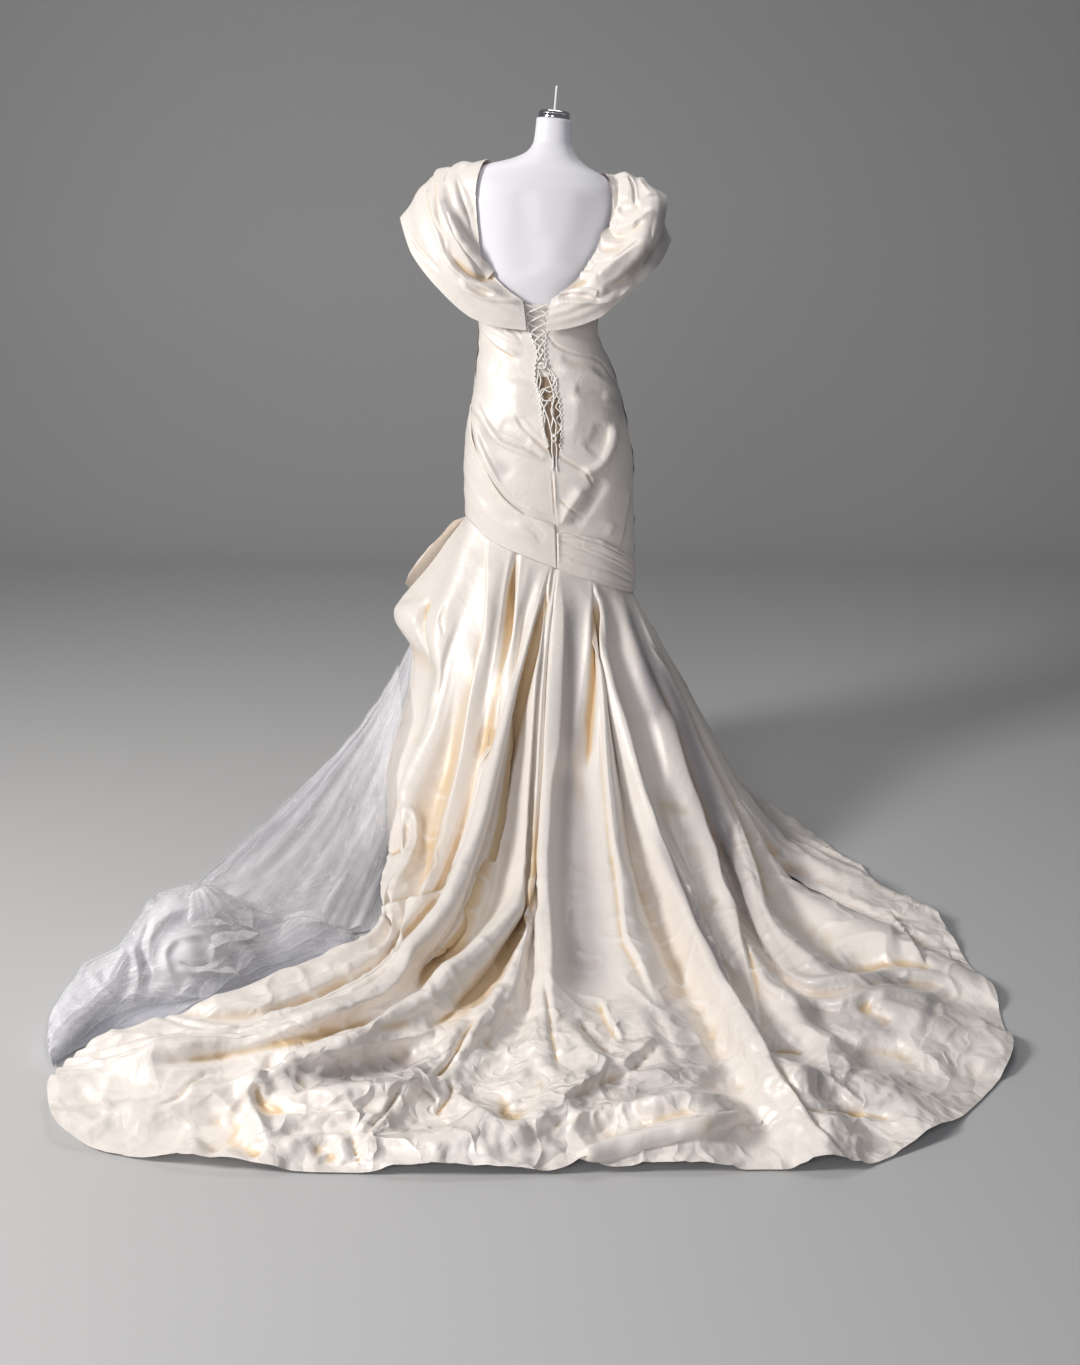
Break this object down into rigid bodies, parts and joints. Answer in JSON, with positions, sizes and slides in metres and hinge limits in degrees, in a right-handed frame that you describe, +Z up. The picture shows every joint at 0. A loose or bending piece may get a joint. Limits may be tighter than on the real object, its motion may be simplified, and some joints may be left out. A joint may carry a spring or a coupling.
{
  "type": "wedding dress on a dress form",
  "caption": "Ivory satin mermaid wedding dress with draped sleeves, a laced back and a long train, on a white limbless dress form with a stand.",
  "frame": {"origin": "centre of the stand plate's underside, on the floor", "axes": "+Z up; -Y to the back of the dress, where the train lies; +X to the right as the picture shows the back"},
  "size_m": [1.685, 1.8695, 1.6104],
  "materials": {
    "satin": "ivory duchess satin with a soft gloss",
    "tulle": "fine sheer net, cool white",
    "lining": "plain satin lining",
    "lace_cord": "satin tube cord",
    "form_white": "smooth matte white",
    "chrome": "polished chrome",
    "stand": "smooth pale grey paint"
  },
  "bodies": {
    "root": {"form_torso": "form_white", "neck_cap": "chrome", "neck_rod": "form_white", "stand_pole": "stand", "stand_base": "stand", "modesty_panel": "lining", "bodice_back_left": "satin", "bodice_back_right": "satin", "bodice_front": "satin", "sash_left": "satin", "sash_right": "satin", "sleeve_left": "satin", "sleeve_right": "satin", "lace_one": "lace_cord", "lace_two": "lace_cord", "loop_strip_left": "lace_cord", "loop_strip_right": "lace_cord", "lace_tail_left": "lace_cord", "lace_tail_right": "lace_cord", "lace_knot": "lace_cord", "tail_knot": "lace_cord", "skirt_back_left": "satin", "skirt_back_right": "satin", "skirt_front": "satin", "hip_drape": "satin", "tulle_skirt": "tulle", "tulle_heap": "tulle"}
  },
  "joints": []
}
